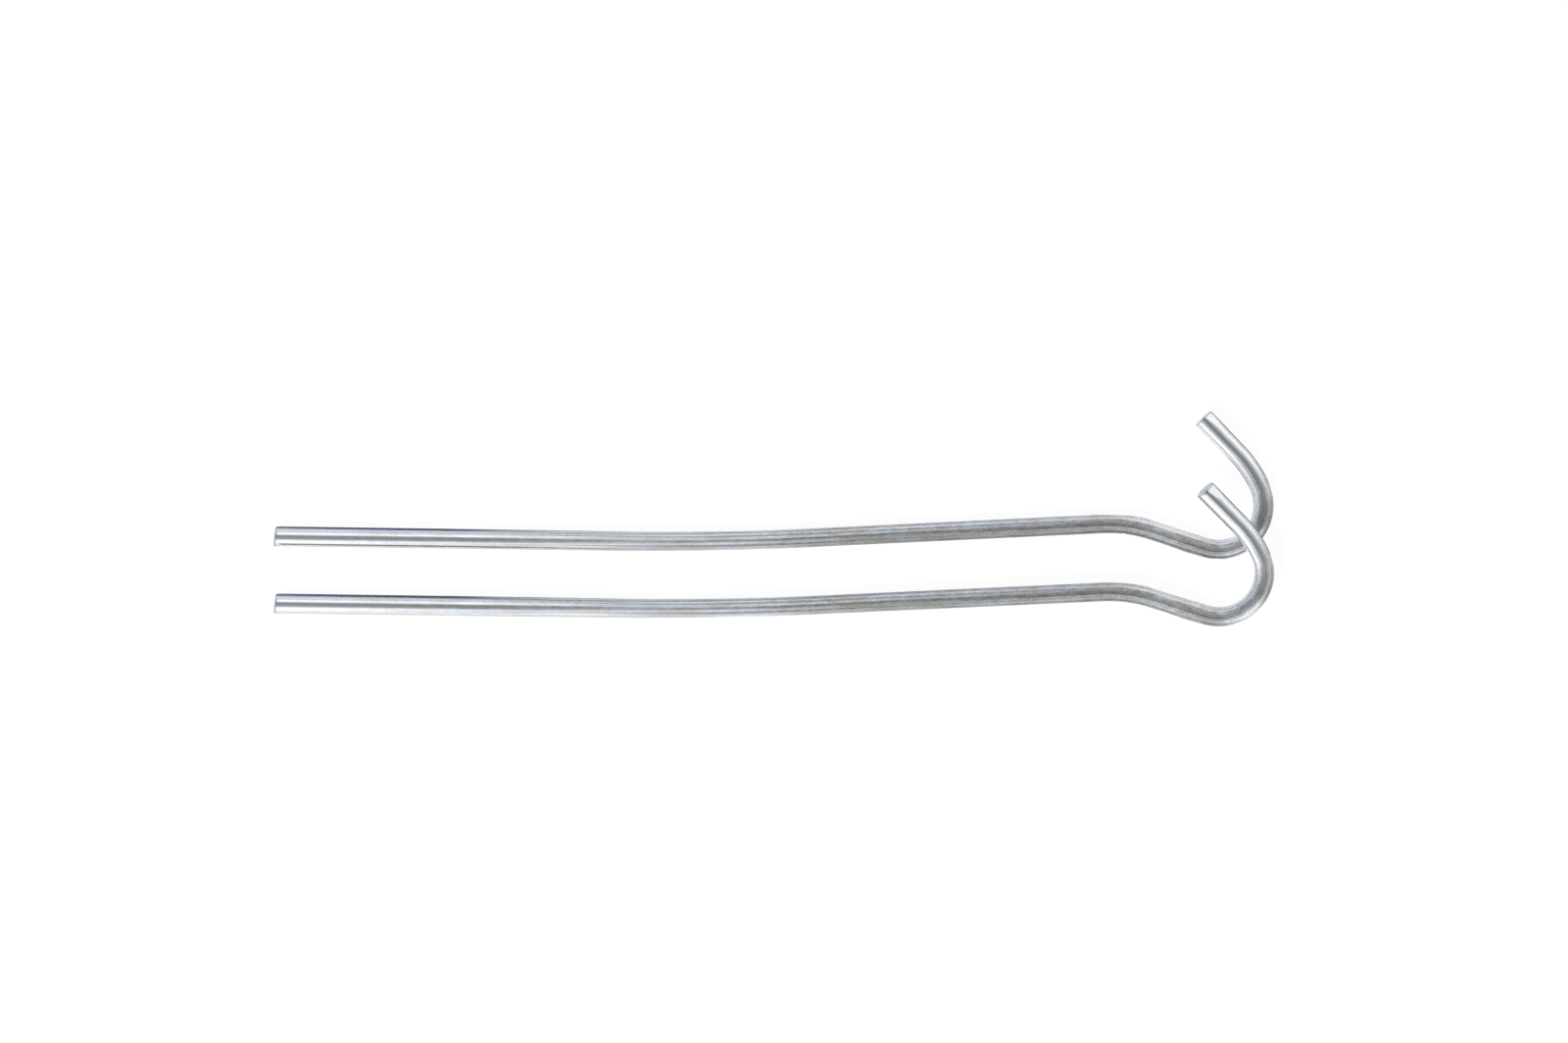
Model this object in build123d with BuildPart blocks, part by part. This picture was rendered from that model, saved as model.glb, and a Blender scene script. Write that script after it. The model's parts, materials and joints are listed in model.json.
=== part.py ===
"""Hooked round-wire tent stakes, one lying with its hook across the other.

Each stake is a single length of zinc-plated steel wire, cropped at both ends and bent in one
plane: a straight shaft that is pushed into the ground, a slow bow half-way up it, a neck that
drops the wire back onto the shaft's line, and a hook that turns up and back over the neck to
catch a guy line or a tent loop.

Units are millimetres, +Z is up and both stakes lie on Z = 0. A stake's own frame has its origin
on the wire's centreline at the point, +X along the shaft towards the hook and +Y towards the
side that the hook opens on.
"""

import os

from build123d import *

# Wire stock
WIRE_DIAMETER = 4.5
WIRE_RADIUS = WIRE_DIAMETER / 2

# Bend table, from the point to the tip of the hook: straight runs, and radii on the centreline.
# A positive angle turns towards the hook's open side.
SHAFT_RUN = 77.2
BOW_RADIUS, BOW_ANGLE = 710.0, 3.5
UPPER_RUN = 65.8
NECK_RADIUS, NECK_ANGLE = 31.5, -20.5
THROAT_RUN = 12.6
HOOK_RADIUS, HOOK_ANGLE = 10.1, 132.3
EASE_RADIUS, EASE_ANGLE = 27.0, 20.0
LEG_RUN = 10.7

# Cropped ends: the shear leaves a rounded rim, and at the point a face that leans a little
POINT_LEAN = 6.0
TIP_LEAN = 1.0
CROP_RIM_RADIUS = 0.45
CROP_WASTE = 1.0

# Witness marks of the bending pins: flats on the outside of a bend, and a nick on the inside
FLAT_DEPTH = 0.13
FLAT_CUTTER = 8.0
NICK_RADIUS = 1.2
NICK_DEPTH = 0.15

# How the two stakes lie: the front one is rolled about its shaft until its hook rests on the
# rear one's, with a sliver of air between them so that they stay two free bodies
REAR_SHIFT_X = -0.2
REAR_SHIFT_Y = 15.1
FRONT_ROLL = 14.7


def outside_pad(bend, along, depth):
    """A plane that faces out of a bend, a little inside the wire's outer surface."""
    outward = (bend @ along - bend.arc_center).normalized()
    touch = bend @ along + outward * (WIRE_RADIUS - depth)
    return Plane(origin=touch, x_dir=bend % along, z_dir=outward)


# The bent wire, in its own frame
with BuildPart() as stake:
    with BuildLine() as centreline:
        shaft = Line((-CROP_WASTE, 0), (SHAFT_RUN, 0))
        bow = JernArc(shaft @ 1, shaft % 1, BOW_RADIUS, BOW_ANGLE)
        upper = PolarLine(bow @ 1, UPPER_RUN, direction=bow % 1)
        neck = JernArc(upper @ 1, upper % 1, NECK_RADIUS, NECK_ANGLE)
        throat = PolarLine(neck @ 1, THROAT_RUN, direction=neck % 1)
        hook = JernArc(throat @ 1, throat % 1, HOOK_RADIUS, HOOK_ANGLE)
        ease = JernArc(hook @ 1, hook % 1, EASE_RADIUS, EASE_ANGLE)
        leg = PolarLine(ease @ 1, LEG_RUN + CROP_WASTE, direction=ease % 1)
    with BuildSketch(Plane(origin=shaft @ 0, z_dir=shaft % 0)) as wire_section:
        Circle(WIRE_RADIUS)
    sweep(path=centreline.line)

    # Flats where the outside of a bend bore on a pin: the neck's crown, and both ends of the hook
    for bend, along in ((neck, 0.5), (hook, 0.12), (hook, 0.93)):
        with BuildSketch(outside_pad(bend, along, FLAT_DEPTH)) as flat:
            Rectangle(FLAT_CUTTER, FLAT_CUTTER)
        extrude(amount=WIRE_RADIUS, mode=Mode.SUBTRACT)

    # The nick that the mandrel left under the neck, straight across the wire
    inward = (neck.arc_center - neck @ 0.45).normalized()
    nick_axis = neck @ 0.45 + inward * (WIRE_RADIUS + NICK_RADIUS - NICK_DEPTH)
    with BuildSketch(Plane.XY.offset(-WIRE_RADIUS)) as nick:
        with Locations(nick_axis):
            Circle(NICK_RADIUS)
    extrude(amount=WIRE_DIAMETER, mode=Mode.SUBTRACT)

    # Crop both ends: the point at X = 0, and the tip of the leg
    tip_centre = leg @ 1 - (leg % 1) * CROP_WASTE
    ends = ((Vector(0, 0, 0), -(shaft % 0), POINT_LEAN), (tip_centre, leg % 1, TIP_LEAN))
    for end, outward, lean in ends:
        with BuildSketch(Plane(origin=end, z_dir=outward.rotate(Axis.Z, -lean))) as crop:
            Rectangle(2 * WIRE_DIAMETER, 2 * WIRE_DIAMETER)
        extrude(amount=2 * CROP_WASTE, mode=Mode.SUBTRACT)
        cut_face = stake.faces().sort_by_distance(end)[0]
        fillet(cut_face.edges(), CROP_RIM_RADIUS)

# Both stakes on the floor, about the middle of the space that they cover together
rear_lie = Location((REAR_SHIFT_X, REAR_SHIFT_Y, WIRE_RADIUS))
front_lie = Location((0, 0, WIRE_RADIUS), (FRONT_ROLL, 0, 0))
together = Compound(children=[stake.part.moved(rear_lie), stake.part.moved(front_lie)])
extent = together.bounding_box()
middle = Location((-extent.center().X, -extent.center().Y, -extent.min.Z))

with BuildPart() as rear_stake:
    with Locations(middle * rear_lie):
        add(stake.part)

with BuildPart() as front_stake:
    with Locations(middle * front_lie):
        add(stake.part)

os.makedirs("parts", exist_ok=True)
for name, laid in (("rear_stake", rear_stake), ("front_stake", front_stake)):
    laid.part.label = name
    export_step(laid.part, f"parts/{name}.step")
    print(name, "volume", round(laid.part.volume, 1), "box", laid.part.bounding_box())
wire_length = sum(bend.length for bend in centreline.edges()) - 2 * CROP_WASTE
print("wire length", round(wire_length, 1), "mm")
print("gap between the stakes", round(rear_stake.part.distance_to(front_stake.part), 3), "mm")
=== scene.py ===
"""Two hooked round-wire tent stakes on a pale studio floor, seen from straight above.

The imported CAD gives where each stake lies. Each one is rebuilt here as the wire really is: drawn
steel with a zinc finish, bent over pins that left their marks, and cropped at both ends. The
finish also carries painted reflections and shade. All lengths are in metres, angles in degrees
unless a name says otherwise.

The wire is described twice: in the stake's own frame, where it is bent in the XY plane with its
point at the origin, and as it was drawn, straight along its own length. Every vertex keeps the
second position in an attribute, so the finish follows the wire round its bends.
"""

import json
import math

import bpy
import numpy as np
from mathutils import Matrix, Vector


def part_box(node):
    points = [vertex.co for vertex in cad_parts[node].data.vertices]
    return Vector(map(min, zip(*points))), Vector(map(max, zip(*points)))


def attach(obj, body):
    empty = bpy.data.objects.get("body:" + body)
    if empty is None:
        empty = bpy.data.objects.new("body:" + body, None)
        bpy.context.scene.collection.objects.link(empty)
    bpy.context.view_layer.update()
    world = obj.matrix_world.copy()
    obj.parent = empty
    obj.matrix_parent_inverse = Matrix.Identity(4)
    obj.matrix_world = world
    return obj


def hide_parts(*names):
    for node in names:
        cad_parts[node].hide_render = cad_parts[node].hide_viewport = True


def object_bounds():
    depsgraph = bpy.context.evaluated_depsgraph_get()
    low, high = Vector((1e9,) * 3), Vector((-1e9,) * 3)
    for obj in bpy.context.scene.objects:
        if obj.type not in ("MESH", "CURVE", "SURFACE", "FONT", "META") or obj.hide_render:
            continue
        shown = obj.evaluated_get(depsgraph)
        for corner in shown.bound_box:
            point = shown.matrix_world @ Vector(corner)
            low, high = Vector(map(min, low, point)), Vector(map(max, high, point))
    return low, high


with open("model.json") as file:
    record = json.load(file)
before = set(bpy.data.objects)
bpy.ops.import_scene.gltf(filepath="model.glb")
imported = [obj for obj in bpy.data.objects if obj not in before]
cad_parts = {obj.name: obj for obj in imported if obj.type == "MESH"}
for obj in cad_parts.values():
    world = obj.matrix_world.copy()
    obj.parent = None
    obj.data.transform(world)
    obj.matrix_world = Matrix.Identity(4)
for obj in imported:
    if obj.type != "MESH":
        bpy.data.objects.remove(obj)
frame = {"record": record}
cad_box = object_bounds()

# ---------------------------------------------------------------------------------- the wire
WIRE_RADIUS = 0.00225

# The bend table: (name, length) of a straight run, or (name, radius, angle) of a bend
BENDS = (
    ("shaft", 0.0772),
    ("bow", 0.7100, 3.5),
    ("upper", 0.0658),
    ("neck", 0.0315, -20.5),
    ("throat", 0.0126),
    ("hook", 0.0101, 132.3),
    ("ease", 0.0270, 20.0),
    ("leg", 0.0107),
)

RING_STEP = 0.00033         # spacing of the cross-sections along the wire
SIDES = 96                  # vertices around each cross-section
THINNING = 0.065            # how much thinner the wire is half-way along than at its ends
THIN_FROM = 0.03            # the thinning starts this far from the point,
THIN_FULL = 0.12            # is complete here, eases off from the neck on,
THIN_END = 0.015            # and is over this far from the hook's tip

POINT_LEAN = 6.0            # how far the cropped faces lean
TIP_LEAN = 1.0
CROP_REACH = 0.003          # the length over which the sections turn to meet that lean
RIM_RADIUS = 0.00045        # rounded rim of a cropped end
RIM_STEPS = 6
RIM_MARGIN = 1.5            # the ends' own rings take up this many rim radii of the wire
FACE_RINGS = 7
FACE_CROWN = 0.00009        # how far a cropped face bulges in its middle

# Where the wire swelled as it was bent and cropped: (bend, share of its length, side, how far it
# swelled, reach along the wire). Side 1 is the one that the hook opens on.
SWELLS = (
    ("neck", 0.72, 1, 0.00012, 0.0022),
    ("throat", 0.70, -1, 0.00015, 0.0028),
    ("leg", 0.90, -1, 0.00018, 0.0055),
)
SWELL_FOCUS = 1.5           # how closely a swell keeps to the middle of its side

# Marks of the bending pins: flats on the outside of a bend, each (bend, share of its length), and
# a nick on the inside of the neck
FLATS = (("neck", 0.22), ("hook", 0.12), ("hook", 0.93))
FLAT_DEPTH = 0.00013
FLAT_REACH = 0.004
FLAT_SOFTNESS = 0.00002     # rounding of a flat's edges,
FLAT_BLEND = 10             # which fades out over this many times the softness
NICK = ("neck", 0.45)
NICK_RADIUS = 0.0012
NICK_DEPTH = 0.00015

# The shear's pinch on the outer shoulder of the hook's tip: a facet that runs out along the leg
PINCH_TURN = 38.0           # from straight up, towards the outside of the hook
PINCH_DEPTH = 0.00024
PINCH_LENGTH = 0.0036


def run_size(size, turn):
    """The length and the total turn in radians of a row of the bend table."""
    if not turn:
        return size, 0.0
    angle = math.radians(turn[0])
    return abs(angle) * size, angle


def walk(place, heading, length, angle):
    """Where a run or a bend of one length and total turn leads from a place and a heading."""
    if angle == 0.0:
        return place[0] + length * math.cos(heading), place[1] + length * math.sin(heading), heading
    radius = length / angle
    return (
        place[0] + radius * (math.sin(heading + angle) - math.sin(heading)),
        place[1] - radius * (math.cos(heading + angle) - math.cos(heading)),
        heading + angle,
    )


def trace_bends(step):
    """Rows of x, y, heading and distance from the point, and the distance where each bend starts."""
    place = np.zeros(2)
    heading = 0.0
    travelled = 0.0
    rows = []
    starts = {}
    for name, size, *turn in BENDS:
        starts[name] = travelled
        length, angle = run_size(size, turn)
        count = max(2, round(length / step))
        for share in np.arange(count) / count:
            reached = walk(place, heading, share * length, share * angle)
            rows.append((*reached, travelled + share * length))
        place_x, place_y, heading = walk(place, heading, length, angle)
        place = np.array((place_x, place_y))
        travelled += length
    rows.append((place[0], place[1], heading, travelled))
    starts["end"] = travelled
    return np.array(rows), starts


def smooth(low, high, value):
    """0 below low, 1 above high, and an easy curve between."""
    t = np.clip((value - low) / (high - low), 0.0, 1.0)
    return t * t * (3.0 - 2.0 * t)


def section_radius(distance, starts):
    """The wire's radius along its length: drawn a touch thinner in the middle of the stake."""
    thin = smooth(THIN_FROM, THIN_FULL, distance)
    thin = thin * (1.0 - smooth(starts["neck"], starts["end"] - THIN_END, distance))
    return WIRE_RADIUS * (1.0 - THINNING * thin)


def bend_point(name, share, starts):
    """A point part of the way round a bend: place, way along, way outwards and wire radius."""
    place = np.zeros(2)
    heading = 0.0
    for bend, size, *turn in BENDS:
        length, angle = run_size(size, turn)
        reach = share if bend == name else 1.0
        x, y, heading = walk(place, heading, length * reach, angle * reach)
        place = np.array((x, y))
        if bend == name:
            break
    forward = np.array((math.cos(heading), math.sin(heading)))
    outward = np.array((math.sin(heading), -math.cos(heading))) * math.copysign(1.0, angle)
    radius = section_radius(starts[name] + length * share, starts)
    return place, forward, outward, radius


def press_marks(points, starts):
    """Presses the bending pins' flats and the nick into the bent wire's vertices, in place."""
    for name, share in FLATS:
        place, forward, outward, radius = bend_point(name, share, starts)
        offset = points[:, :2] - place
        proud = offset @ outward - (radius - FLAT_DEPTH)
        cut = FLAT_SOFTNESS * np.logaddexp(0.0, proud / FLAT_SOFTNESS)
        near = (proud > -FLAT_BLEND * FLAT_SOFTNESS) & (proud < FLAT_REACH)
        near = near & (np.abs(offset @ forward) < FLAT_REACH)
        points[near, :2] -= np.outer(cut[near], outward)

    name, share = NICK
    place, forward, outward, radius = bend_point(name, share, starts)
    pin = place - outward * (radius + NICK_RADIUS - NICK_DEPTH)
    offset = points[:, :2] - pin
    far = np.linalg.norm(offset, axis=1)
    inside = far < NICK_RADIUS
    points[inside, :2] += offset[inside] * (NICK_RADIUS / far[inside] - 1.0)[:, None]


def pinch_tip(points, tip):
    """Presses the shear's facet into the vertices at the tip of the leg, in place."""
    x, y, heading = tip
    forward = np.array((math.cos(heading), math.sin(heading), 0.0))
    outward = np.array((math.sin(heading), -math.cos(heading), 0.0)) * math.sin(math.radians(PINCH_TURN))
    facing = outward + np.array((0.0, 0.0, math.cos(math.radians(PINCH_TURN))))
    offset = points - np.array((x, y, 0.0))
    back = -offset @ forward
    proud = offset @ facing - (WIRE_RADIUS - PINCH_DEPTH * (1.0 - back / PINCH_LENGTH))
    near = (np.abs(back) < PINCH_LENGTH) & (proud > 0.0)
    points[near] -= np.outer(proud[near], facing)


def join_rings(bent, drawn):
    """Adds a vertex in the middle of each cropped face, and the faces that join everything up."""
    rings = len(bent) // SIDES
    faces = []
    for ring in range(rings - 1):
        low = ring * SIDES
        high = low + SIDES
        for k in range(SIDES):
            after = (k + 1) % SIDES
            faces.append((low + k, low + after, high + after, high + k))
    for ring, flip in ((0, True), (rings - 1, False)):
        low = ring * SIDES
        middle = len(bent)
        bent = np.vstack((bent, bent[low:low + SIDES].mean(axis=0)))
        drawn = np.vstack((drawn, drawn[low:low + SIDES].mean(axis=0)))
        for k in range(SIDES):
            corner = (low + k, low + (k + 1) % SIDES)
            faces.append((middle, *(corner[::-1] if flip else corner)))
    return bent, drawn, faces


def build_wire():
    """The wire's vertices in the stake's frame, their places on the drawn wire, each with the
    wire's heading there, the faces, the traced bends, and where each bend starts."""
    rows, starts = trace_bends(RING_STEP)
    total = starts["end"]
    lengths = dict(zip(starts, np.diff(list(starts.values()))))
    around = np.arange(SIDES) / SIDES * 2.0 * math.pi
    side = np.cos(around)       # in the plane of the bends, to the left
    lift = np.sin(around)
    bent = []
    drawn = []

    def add_ring(centre, heading, distance, radius, push, lean):
        """One cross-section, pushed along the wire by push and sheared by lean."""
        forward = np.array((math.cos(heading), math.sin(heading), 0.0))
        left = np.array((-math.sin(heading), math.cos(heading), 0.0))
        across = side * radius
        for bend, share, way, height, reach in SWELLS:
            gap = (distance - starts[bend] - share * lengths[bend]) / reach
            swell = way * height * math.exp(-gap * gap) * radius / WIRE_RADIUS
            across = across + swell * np.clip(way * side, 0.0, 1.0) ** SWELL_FOCUS
        ahead = push + lean * across
        points = np.outer(ahead, forward) + np.outer(across, left)
        points[:, 2] += lift * radius
        points[:, :2] += centre
        bent.append(points)
        drawn.append(np.column_stack((distance + ahead, across, lift * radius, np.full(SIDES, heading))))

    def add_end(row, radius, outward, lean):
        """The rim and face of a cropped end, along the wire; outward is -1 at the point."""
        rings = []
        for k in range(1, FACE_RINGS + 1):
            share = k / FACE_RINGS
            rings.append((share * (radius - RIM_RADIUS), FACE_CROWN * (1.0 - share * share)))
        for k in range(1, RIM_STEPS + 1):
            turn = k / RIM_STEPS * math.pi / 2
            ring_radius = radius - RIM_RADIUS + RIM_RADIUS * math.sin(turn)
            rings.append((ring_radius, RIM_RADIUS * (math.cos(turn) - 1.0)))
        if outward > 0:
            rings.reverse()
        for ring_radius, push in rings:
            add_ring(row[:2], row[2], row[3], ring_radius, outward * push, lean)

    point_lean = math.tan(math.radians(POINT_LEAN))
    tip_lean = math.tan(math.radians(TIP_LEAN))
    radii = section_radius(rows[:, 3], starts)
    margin = RIM_RADIUS * RIM_MARGIN
    add_end(rows[0], radii[0], -1, point_lean)
    for row, radius in zip(rows, radii):
        if margin < row[3] < total - margin:
            to_point = 1.0 - smooth(0.0, CROP_REACH, row[3])
            to_tip = smooth(total - CROP_REACH, total, row[3])
            add_ring(row[:2], row[2], row[3], radius, 0.0, point_lean * to_point + tip_lean * to_tip)
    add_end(rows[-1], radii[-1], 1, tip_lean)

    bent = np.concatenate(bent)
    press_marks(bent, starts)
    pinch_tip(bent, rows[-1, :3])
    return *join_rings(bent, np.concatenate(drawn)), rows, starts


wire_points, wire_drawn, wire_faces, wire_rows, wire_starts = build_wire()
WIRE_LENGTH = wire_starts["end"]


# ------------------------------------------------------------------------------- the finish
# Where the wire is polished, and where bending and handling left it duller, as rows of (distance
# from the point, value). The grey is given for the side that the hook opens on and for the other
# one, mostly the darker of the two. Besides the zinc's own tone, both greys hold painted light and
# shade: they are set lighter or darker place by place, as the reflections on that side are.
ROUGHNESS = (
    (0.000, 0.10), (0.040, 0.14), (0.062, 0.30), (0.085, 0.60), (0.140, 0.62),
    (0.170, 0.50), (0.205, 0.42), (0.230, 0.32), (0.240, 0.15), (WIRE_LENGTH, 0.11))
INSIDE_GREY_AND_PAINTED_LIGHT = (
    (0.000, 0.84), (0.040, 0.78), (0.075, 0.72), (0.105, 0.76), (0.130, 0.68),
    (0.185, 0.58), (0.203, 0.86), (0.213, 0.66), (0.219, 0.74), (0.2265, 0.58),
    (0.233, 0.90), (0.240, 0.98), (WIRE_LENGTH, 0.98))
OUTSIDE_GREY_AND_PAINTED_LIGHT = (
    (0.000, 0.82), (0.040, 0.77), (0.075, 0.70), (0.105, 0.62), (0.125, 0.47),
    (0.150, 0.42), (0.190, 0.40), (0.203, 0.52), (0.212, 0.45), (0.2195, 0.98),
    (0.2265, 0.42), (0.233, 0.70), (0.241, 0.95), (WIRE_LENGTH, 0.96))
WORN = (
    (0.000, 0.10), (0.025, 0.40), (0.060, 0.50), (0.090, 0.48), (0.130, 0.90),
    (0.195, 1.00), (0.215, 0.95), (0.236, 0.50), (WIRE_LENGTH, 0.14))
LINED = (
    (0.000, 0.15), (0.050, 0.30), (0.068, 0.90), (0.115, 1.00), (0.145, 0.72),
    (0.185, 0.72), (0.215, 0.72), (0.232, 0.50), (WIRE_LENGTH, 0.20))
RELIEF_DEPTH = (
    (0.000, 0.10), (0.035, 0.24), (0.070, 0.85), (0.190, 0.75), (0.225, 0.45),
    (0.240, 0.10), (WIRE_LENGTH, 0.07))
SIDE_BLEND = 0.6 * WIRE_RADIUS      # how far from the middle the two greys blend

# Noise patterns on the drawn wire: scale (along it, sideways, upwards), detail, roughness
PATTERNS = {
    # The drawing die's lines: a few long bold ones round the wire, and finer ones between them
    "bold": ((6.0, 1700.0, 1700.0), 1.0, 0.50),
    "lines": ((28.0, 3200.0, 3200.0), 3.0, 0.62),
    "hairs": ((70.0, 9000.0, 9000.0), 2.0, 0.60),
    # Mottling of the zinc, in patches a millimetre or two long, with a finer grain in it
    "patches": ((420.0, 900.0, 900.0), 4.0, 0.62),
    "grain": ((2600.0, 3600.0, 3600.0), 3.0, 0.60),
    "specks": ((1900.0, 3000.0, 3000.0), 2.0, 0.50),
    "stains": ((90.0, 420.0, 420.0), 3.0, 0.60),
    # The sheared metal of the cropped faces
    "torn": ((900.0, 1500.0, 5200.0), 3.0, 0.60),
}

# What the patterns do to the colour: a pattern's range, and the change in brightness over it
BOLD_TONE = (0.38, 0.62, -0.36, 0.34)
LINE_TONE = (0.30, 0.70, -0.18, 0.18)
PATCH_TONE = (0.30, 0.70, -0.19, 0.17)
GRAIN_TONE = (0.30, 0.70, -0.20, 0.19)
SPECK_RANGE = (0.64, 0.74)
SPECK_TONE = 0.36
STAIN_RANGE = (0.46, 0.66)
STAIN_AMOUNT = 0.85
STAIN_SHADE = (0.90, 0.84, 0.74)
ZINC_TINT = (0.972, 1.0, 1.045)     # clean zinc, next to a neutral grey

# What they do to the roughness, and how strongly they stand out in the relief
PATCH_GLOSS = (0.30, 0.70, 0.86, 1.16)
BOLD_GLOSS = (0.35, 0.65, 0.84, 1.16)
RELIEF = {"bold": 0.80, "lines": 0.30, "hairs": 0.05}
WORN_RELIEF = {"patches": 0.22, "grain": 0.05}
RELIEF_HEIGHT = 0.00005

# Painted reflections and shade, in bands along the wire by the way round it that they face: (turn from
# straight up, half-width, amount by distance along the wire, shade). A positive turn is towards the
# side that the hook opens on.
PAINTED_REFLECTION_BANDS = (
    # Behind the point: a dark line painted as the reflection of shaded floor, the olive edge line across
    # from it painted the same way, and painted shade between them
    (66, 20, ((0.0, 0.90), (0.010, 1.0), (0.040, 1.0), (0.055, 0.6), (0.066, 0.25), (0.085, 0.0)),
     (0.04, 0.06, 0.15)),
    (-75, 19, ((0.0, 0.85), (0.060, 0.85), (0.085, 0.5), (0.100, 0.0)), (0.64, 0.62, 0.46)),
    (-35, 14, ((0.015, 0.0), (0.032, 0.4), (0.055, 0.8), (0.076, 0.2), (0.100, 0.0)),
     (0.66, 0.67, 0.68)),
    # A warmer tint from the bow on, and a dark streak along the top over the neck and round the hook,
    # painted as the reflection of the tent's dim top
    (-18, 26, ((0.100, 0.0), (0.130, 0.9), (0.180, 0.9), (0.230, 0.0)), (1.0, 0.975, 0.93)),
    (0, 9, ((0.150, 0.0), (0.175, 0.35), (0.192, 0.8), (0.212, 0.6), (0.219, 0.8), (0.2265, 0.5),
            (0.235, 0.9), (0.2537, 1.0)), (0.64, 0.63, 0.60)),
    # Painted dark reflections along both edges of the leg
    (-77, 18, ((0.230, 0.0), (0.238, 0.95), (0.248, 1.0), (0.2525, 0.35)), (0.07, 0.055, 0.085)),
    (82, 12, ((0.241, 0.0), (0.246, 0.9), (0.2537, 0.9)), (0.16, 0.24, 0.18)),
)
BAND_CORE = 0.35                    # the share of a band's half-width that has its full shade
BAND_RAGGEDNESS = 0.03              # how far the patches shift a band's edges
SKIN = (0.80 * WIRE_RADIUS, 0.90 * WIRE_RADIUS)     # how far out the wire's own side starts

# Shearing left the cropped faces duller and torn; round each face, a rim is tinted darker and bluer.
# Depths are (full effect, no effect), from either end of the wire. The bare steel's spread over a face
# is its range from the middle out, and the amount over that range.
CROPPED_DEPTH = (0.0002, 0.0005)
RIM_DEPTH = (0.0003, 0.0007)
RIM_AMOUNT = 0.85
RIM_SHADE = (0.60, 0.65, 0.76)
BARE_SPREAD = (0.76 * WIRE_RADIUS, 0.90 * WIRE_RADIUS, 0.9, 0.0)
STEEL = (0.46, 0.46, 0.47)
STEEL_CONTRAST = 1.35
TORN_RANGE = (0.35, 0.65)
TORN_GLOSS = (0.28, 0.50)
TORN_RELIEF = 2.5


class Nodes:
    """A material's or a world's node tree, with the few operations that this scene needs."""

    def __init__(self, tree):
        self.tree = tree
        tree.nodes.clear()

    def add(self, kind, inputs=(), **settings):
        """A node; inputs are (name or index, value or socket) pairs."""
        node = self.tree.nodes.new(kind)
        for key, value in settings.items():
            setattr(node, key, value)
        for key, value in inputs:
            self.feed(node.inputs[key], value)
        return node

    def feed(self, socket, value):
        if isinstance(value, bpy.types.NodeSocket):
            self.tree.links.new(value, socket)
        else:
            socket.default_value = value

    def math(self, operation, first, second=0.0):
        return self.add("ShaderNodeMath", ((0, first), (1, second)), operation=operation).outputs[0]

    def total(self, first, *others):
        for other in others:
            first = self.math("ADD", first, other)
        return first

    def product(self, first, *others):
        for other in others:
            first = self.math("MULTIPLY", first, other)
        return first

    def vector_math(self, operation, first, second=(0.0, 0.0, 0.0)):
        node = self.add("ShaderNodeVectorMath", ((0, first), (1, second)), operation=operation)
        return node.outputs["Value" if operation in ("DOT_PRODUCT", "LENGTH") else "Vector"]

    def spread(self, value, low, high, to_low=0.0, to_high=1.0):
        """Maps low..high onto to_low..to_high with an easy curve, held at both ends."""
        inputs = (
            ("Value", value), ("From Min", low), ("From Max", high),
            ("To Min", to_low), ("To Max", to_high))
        return self.add("ShaderNodeMapRange", inputs, interpolation_type="SMOOTHSTEP").outputs[0]

    def mixed(self, factor, first, second):
        """A number between two others."""
        return self.add("ShaderNodeMix", ((0, factor), (2, first), (3, second))).outputs[0]

    def tinted(self, factor, first, second, blend="MIX"):
        """A colour between two others, or the first with the second blended onto it."""
        node = self.add("ShaderNodeMix", (), data_type="RGBA", blend_type=blend)
        for key, value in (("Factor", factor), ("A", first), ("B", second)):
            socket = next(i for i in node.inputs if i.name == key and i.enabled)
            self.feed(socket, value)
        return next(o for o in node.outputs if o.enabled)

    def shaded(self, amount, colour, shade):
        """A colour multiplied by a shade, by some amount."""
        return self.tinted(amount, colour, self.tinted(1.0, colour, (*shade, 1.0), "MULTIPLY"))

    def colour(self, channels):
        return self.add("ShaderNodeCombineColor", enumerate(channels)).outputs[0]


class WireNodes(Nodes):
    """The node tree of the wire's finish, which knows its way along the drawn wire."""

    def __init__(self, tree):
        super().__init__(tree)
        drawn = self.add("ShaderNodeAttribute", attribute_name="drawn").outputs["Vector"]
        place = self.add("ShaderNodeSeparateXYZ", ((0, drawn),))
        self.along = place.outputs["X"]
        self.across = place.outputs["Y"]
        self.section = self.vector_math("MULTIPLY", drawn, (0.0, 1.0, 1.0))
        self.outer = self.vector_math("LENGTH", self.section)
        self.skin = self.spread(self.outer, *SKIN)
        self.worn = self.curve(WORN)
        self.cropped = self.near_ends(*CROPPED_DEPTH)
        self.pattern = {}
        for name, (scale, detail, roughness) in PATTERNS.items():
            inputs = (
                ("Vector", self.vector_math("MULTIPLY", drawn, scale)),
                ("Scale", 1.0), ("Detail", detail), ("Roughness", roughness))
            self.pattern[name] = self.add("ShaderNodeTexNoise", inputs).outputs["Fac"]

    def curve(self, stops):
        """A value that changes along the wire, from rows of (distance from the point, value)."""
        ramp = self.add("ShaderNodeValToRGB", ((0, self.math("DIVIDE", self.along, WIRE_LENGTH)),))
        elements = ramp.color_ramp.elements
        ramp.color_ramp.interpolation = "EASE"
        while len(elements) < len(stops):
            elements.new(1.0)
        for element, (at, level) in zip(elements, stops):
            element.position = at / WIRE_LENGTH
            element.color = (level, level, level, 1.0)
        return ramp.outputs["Color"]

    def near_ends(self, full, none):
        """1 up to one distance from either end of the wire, easing to 0 at another."""
        at_point = self.spread(self.along, full, none, 1.0, 0.0)
        at_tip = self.spread(self.along, WIRE_LENGTH - none, WIRE_LENGTH - full)
        return self.math("MAXIMUM", at_point, at_tip)


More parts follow.
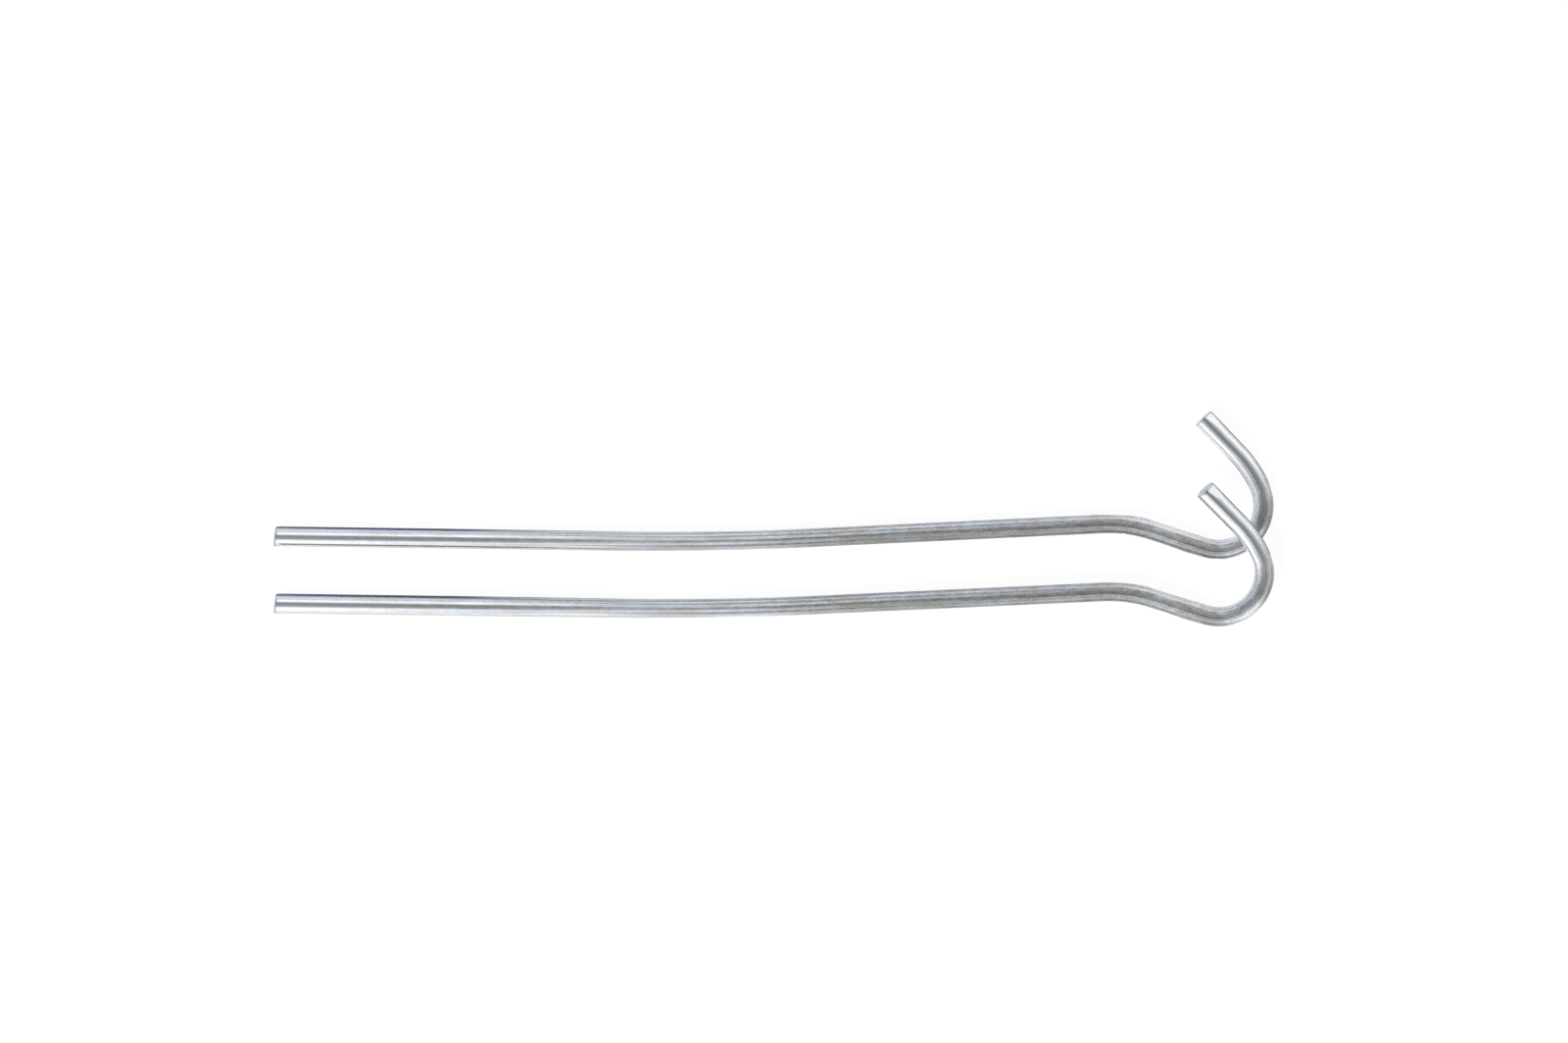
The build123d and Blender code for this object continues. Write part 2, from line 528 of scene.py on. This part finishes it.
def zinc_grey_and_painted_light(n):
    """How light the zinc is, with painted light and shade, the die's lines, the mottling and the specks
    in it.
    """
    inside = n.spread(n.across, -SIDE_BLEND, SIDE_BLEND)
    # The two sides' greys hold painted light and shade as well as the zinc's own tone
    grey = n.mixed(inside, n.curve(OUTSIDE_GREY_AND_PAINTED_LIGHT), n.curve(INSIDE_GREY_AND_PAINTED_LIGHT))
    bold = n.spread(n.pattern["bold"], *BOLD_TONE)
    lines = n.spread(n.pattern["lines"], *LINE_TONE)
    streaks = n.product(n.total(bold, lines), n.curve(LINED))
    patches = n.spread(n.pattern["patches"], *PATCH_TONE)
    grain = n.spread(n.pattern["grain"], *GRAIN_TONE)
    specks = n.product(n.spread(n.pattern["specks"], *SPECK_RANGE), SPECK_TONE)
    mottle = n.product(n.math("SUBTRACT", n.total(patches, grain), specks), n.worn)
    return n.product(grey, n.total(streaks, mottle, 1.0))


def zinc_colour(n):
    """Clean zinc, browner where it is stained, and with painted reflections and shade along the bands.
    """
    grey = zinc_grey_and_painted_light(n)
    colour = n.colour(n.product(grey, share) for share in ZINC_TINT)
    stains = n.spread(n.pattern["stains"], *STAIN_RANGE)
    colour = n.shaded(n.product(stains, n.worn, STAIN_AMOUNT), colour, STAIN_SHADE)
    ragged = n.product(n.math("SUBTRACT", n.pattern["patches"], 0.5), BAND_RAGGEDNESS)
    around = n.vector_math("NORMALIZE", n.section)
    # Painted reflections and shade: each band darkens or tints the side of the wire turned its way
    for turn, half_width, stops, shade in PAINTED_REFLECTION_BANDS:
        where = (0.0, math.sin(math.radians(turn)), math.cos(math.radians(turn)))
        facing = n.total(n.vector_math("DOT_PRODUCT", around, where), ragged)
        edge = math.cos(math.radians(half_width))
        core = math.cos(math.radians(half_width * BAND_CORE))
        amount = n.product(n.spread(facing, edge, core), n.skin, n.curve(stops))
        colour = n.shaded(amount, colour, shade)
    return colour


def cropped_colour(n, colour):
    """The colour with the cropped ends' bluish rims and bare steel faces."""
    rim = n.product(n.near_ends(*RIM_DEPTH), n.skin, RIM_AMOUNT)
    colour = n.shaded(rim, colour, RIM_SHADE)
    bare = n.product(n.cropped, n.spread(n.outer, *BARE_SPREAD))
    torn = n.pattern["torn"]
    steel = n.colour(n.spread(torn, *TORN_RANGE, c, STEEL_CONTRAST * c) for c in STEEL)
    return n.tinted(bare, colour, steel)


def wire_gloss(n):
    """The roughness along the wire, which the lines and patches break up."""
    patches = n.spread(n.pattern["patches"], *PATCH_GLOSS)
    gloss = n.product(n.curve(ROUGHNESS), patches, n.spread(n.pattern["bold"], *BOLD_GLOSS))
    return n.mixed(n.cropped, gloss, n.spread(n.pattern["torn"], *TORN_RANGE, *TORN_GLOSS))


def wire_relief(n):
    """Surface normals: the lines, the hairs between them and the mottling's faint orange peel."""
    parts = [n.product(n.pattern[name], weight) for name, weight in RELIEF.items()]
    parts += [n.product(n.pattern[name], n.worn, weight) for name, weight in WORN_RELIEF.items()]
    relief = n.mixed(n.cropped, n.total(*parts), n.product(n.pattern["torn"], TORN_RELIEF))
    inputs = (
        ("Strength", 1.0), ("Distance", RELIEF_HEIGHT),
        ("Height", n.product(relief, n.curve(RELIEF_DEPTH))))
    return n.add("ShaderNodeBump", inputs).outputs[0]


def new_material(name, nodes):
    material = bpy.data.materials.new(name)
    material.use_nodes = True
    return material, nodes(material.node_tree)


def zinc():
    """Bright zinc on drawn wire: mirror-like near both ends, satin and lined along the middle."""
    material, n = new_material("bright_zinc", WireNodes)
    surface = n.add("ShaderNodeBsdfPrincipled", (
        ("Metallic", 1.0), ("Base Color", cropped_colour(n, zinc_colour(n))),
        ("Roughness", wire_gloss(n)), ("Normal", wire_relief(n))))
    n.add("ShaderNodeOutputMaterial", (("Surface", surface.outputs[0]),))
    return material


zinc_finish = zinc()


# ------------------------------------------------------------------------- laying the stakes
def mount(name):
    return next(m for m in frame["record"]["mounts"] if m["name"] == name)


def lay_stake(which):
    """Builds one stake where the CAD has it, on its own body, in place of its CAD node."""
    shaft = Vector(mount(which + "_shaft")["pos_m"])
    seat = Vector(mount(which + "_hook_seat")["pos_m"])
    roll = math.atan2(seat.z - shaft.z, seat.y - shaft.y)
    # The outside of the hook is the stake's far end, so it tells where the point lies
    far_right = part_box(which + "_stake")[1][0]
    point_x = far_right - (wire_rows[:, 0].max() + WIRE_RADIUS)
    x, y, z = wire_points.T
    laid = np.column_stack((
        point_x + x,
        shaft.y + y * math.cos(roll) - z * math.sin(roll),
        shaft.z + y * math.sin(roll) + z * math.cos(roll),
    ))
    mesh = bpy.data.meshes.new(which + "_stake_wire")
    mesh.from_pydata(laid.tolist(), [], wire_faces)
    mesh.polygons.foreach_set("use_smooth", [True] * len(mesh.polygons))
    # The finish is turned round the wire against the roll, by as much as the roll turns the wire
    # where it has this heading, so that the same side of it is on top on both stakes
    x, y, z, heading = wire_drawn.T
    turn = np.arctan(np.cos(heading) * math.tan(roll))
    finish = np.column_stack((
        x,
        y * np.cos(turn) - z * np.sin(turn),
        y * np.sin(turn) + z * np.cos(turn),
    ))
    attribute = mesh.attributes.new("drawn", "FLOAT_VECTOR", "POINT")
    attribute.data.foreach_set("vector", finish.ravel())
    mesh.update()
    stake = bpy.data.objects.new(which + "_stake_wire", mesh)
    bpy.context.scene.collection.objects.link(stake)
    stake.data.materials.append(zinc_finish)
    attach(stake, which + "_stake")
    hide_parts(which + "_stake")


for which in ("rear", "front"):
    lay_stake(which)


# --------------------------------------------------------------------------- floor and light
FLOOR_REACH = 4.0
FLOOR_GAP = 0.00002         # between the lowest point of the stakes and the floor
FLOOR_GREY = 0.8            # the card itself, which the wire reflects
FLOOR_WHITE = 1.05          # the even white that the camera sees,
FLOOR_GLOW = 0.92           # and how much of the floor is that white

BLUE = (0.80, 0.94, 1.14)
COOL = (0.86, 0.96, 1.10)
FRESH = (0.95, 0.99, 1.04)
PLAIN = (1.0, 1.0, 1.0)

# The light tent round the stakes: a dim top, where the camera looks in, and soft bright patches
# lower down. Each is (azimuth, polar angle, spread, brightness, colour).
TENT = (
    (90, 32, 9.0, 1.00, PLAIN),
    (90, 74, 24, 0.55, COOL),
    (-90, 51, 10, 0.62, FRESH),
    (-90, 84, 22, 0.50, PLAIN),
    (-132, 80, 27, 0.95, FRESH),
    (34, 74, 26, 0.75, PLAIN),
    (-45, 80, 20, 1.05, PLAIN),
    (165, 80, 21, 0.62, BLUE),
)
TENT_TOP = (0.26, 0.26, 0.2496)

# The floor's lamps: (name, azimuth, polar angle, distance, size, brightness, colour)
LAMPS = (
    ("front_lamp", -120, 38, 1.2, 0.35, 69.0, PLAIN),
    ("overhead_fill", 20, 10, 1.5, 1.2, 0.45, (0.75, 0.90, 1.25)),
)


def floor():
    """A pale floor, nearly shadowless to the camera, as on a photographer's light table."""
    corners = [(x * FLOOR_REACH, y * FLOOR_REACH, 0.0) for x, y in ((-1, -1), (1, -1), (1, 1), (-1, 1))]
    mesh = bpy.data.meshes.new("floor")
    mesh.from_pydata(corners, [], [(0, 1, 2, 3)])
    board = bpy.data.objects.new("floor", mesh)
    board.location.z = cad_box[0][2] - FLOOR_GAP
    bpy.context.scene.collection.objects.link(board)
    material, n = new_material("floor_card", Nodes)
    card = n.add("ShaderNodeBsdfDiffuse", (("Color", (FLOOR_GREY, FLOOR_GREY, FLOOR_GREY, 1.0)),))
    glow = n.add("ShaderNodeEmission", (("Strength", FLOOR_WHITE),))
    seen = n.product(n.add("ShaderNodeLightPath").outputs["Is Camera Ray"], FLOOR_GLOW)
    mix = n.add("ShaderNodeMixShader", ((0, seen), (1, card.outputs[0]), (2, glow.outputs[0])))
    n.add("ShaderNodeOutputMaterial", (("Surface", mix.outputs[0]),))
    board.data.materials.append(material)


def toward(azimuth, polar):
    """A direction: azimuth from +X about +Z, polar angle from straight up."""
    swing, drop = math.radians(azimuth), math.radians(polar)
    return Vector((math.cos(swing) * math.sin(drop), math.sin(swing) * math.sin(drop), math.cos(drop)))


def light_tent():
    """The room as a soft white tent, which the wire reflects. It leaves the floor to its lamps."""
    world = bpy.data.worlds.new("light_tent")
    bpy.context.scene.world = world
    world.use_nodes = True
    n = Nodes(world.node_tree)
    way = n.vector_math("NORMALIZE", n.add("ShaderNodeTexCoord").outputs["Generated"])
    total = TENT_TOP
    for azimuth, polar, spread, brightness, colour in TENT:
        closeness = n.vector_math("DOT_PRODUCT", way, tuple(toward(azimuth, polar)))
        closeness = n.math("SUBTRACT", closeness, 1.0)
        falloff = n.math("EXPONENT", n.product(closeness, 1.0 / math.radians(spread) ** 2))
        glow = (0, tuple(brightness * c for c in colour))
        patch = n.add("ShaderNodeVectorMath", (glow, ("Scale", falloff)), operation="SCALE")
        total = n.vector_math("ADD", total, patch.outputs["Vector"])
    room = n.add("ShaderNodeBackground", (("Color", total), ("Strength", 1.0)))
    n.add("ShaderNodeOutputWorld", (("Surface", room.outputs[0]),))
    world.cycles_visibility.diffuse = False


def floor_lamp(name, azimuth, polar, distance, size, brightness, colour):
    """A soft lamp for the floor alone. The wire's finish is all reflection and doesn't show it."""
    light = bpy.data.lights.new(name, "AREA")
    light.shape = "DISK"
    light.size = size
    light.color = colour
    light.energy = brightness * math.pi * math.pi * size ** 2 / 4
    lamp = bpy.data.objects.new(name, light)
    bpy.context.scene.collection.objects.link(lamp)
    way = toward(azimuth, polar)
    lamp.location = way * distance
    lamp.rotation_euler = way.to_track_quat("Z", "Y").to_euler()
    lamp.visible_camera = False
    lamp.visible_glossy = False


floor()
light_tent()
for lamp_row in LAMPS:
    floor_lamp(*lamp_row)

# ---------------------------------------------------------------------------------- the view
PICTURE_WIDTH = 0.3528      # what the picture's width takes in, at the wire's height
PICTURE_MIDDLE = (0.0022, -0.0018)
CAMERA_ROLL = 0.79
LENS = 200.0
SENSOR = 36.0
VIEW_DEPTH = 20.0

camera_data = bpy.data.cameras.new("camera")
camera_data.lens = LENS
camera_data.sensor_width = SENSOR
camera_data.clip_end = VIEW_DEPTH
camera = bpy.data.objects.new("camera", camera_data)
bpy.context.scene.collection.objects.link(camera)
camera.location = (*PICTURE_MIDDLE, WIRE_RADIUS + LENS / SENSOR * PICTURE_WIDTH)
camera.rotation_euler = (0.0, 0.0, math.radians(CAMERA_ROLL))
bpy.context.scene.camera = camera
bpy.context.scene.view_settings.view_transform = "Standard"
